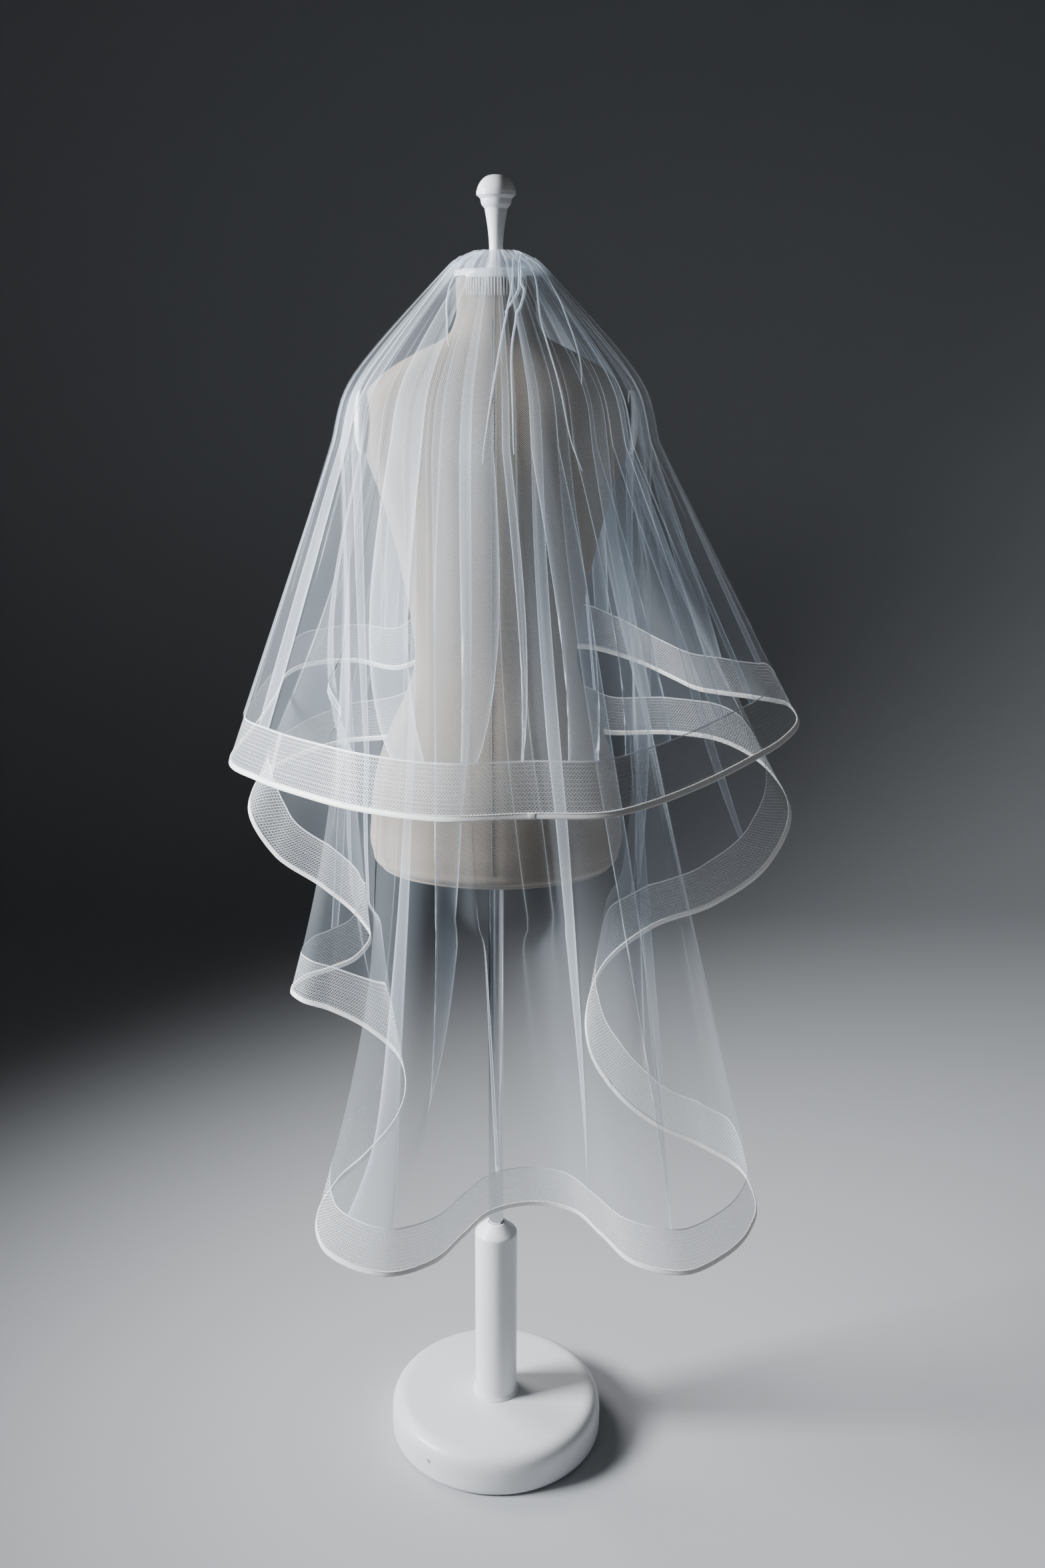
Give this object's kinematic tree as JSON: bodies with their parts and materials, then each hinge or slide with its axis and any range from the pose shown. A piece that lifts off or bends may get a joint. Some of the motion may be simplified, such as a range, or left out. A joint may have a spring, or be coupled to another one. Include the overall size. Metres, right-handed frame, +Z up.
{
  "type": "two-tier bridal veil on a dress form stand",
  "caption": "Bridal veil of gathered tulle on a clear comb, its hems edged in stiff open braid and ribbon, draped over a covered dress form on a round-based stand.",
  "frame": {"origin": "centre of the round base's underside, on the axis of the stand", "axes": "+Z up along the pole; +Y the way the form faces, towards the veil's open front; +X the wearer's right, seen on the right from behind"},
  "size_m": [0.7949, 0.5831, 1.808],
  "materials": {
    "tulle": "fine sheer net",
    "braid": "open stiff weave",
    "ribbon": "satin",
    "comb": "clear",
    "cover": "matt twill",
    "shoulder_cap": "satin white",
    "white_wood": "satin white paint",
    "chrome": "polished"
  },
  "bodies": {
    "root": {"lower_tier": "tulle", "upper_tier": "tulle", "lower_braid": "braid", "upper_braid": "braid", "lower_binding": "ribbon", "upper_binding": "ribbon", "comb": "comb", "torso": "cover", "shoulder_cap_left": "shoulder_cap", "shoulder_cap_right": "shoulder_cap", "neck_cap": "white_wood", "finial": "white_wood", "post": "white_wood", "base": "white_wood", "pole": "chrome"}
  },
  "joints": []
}
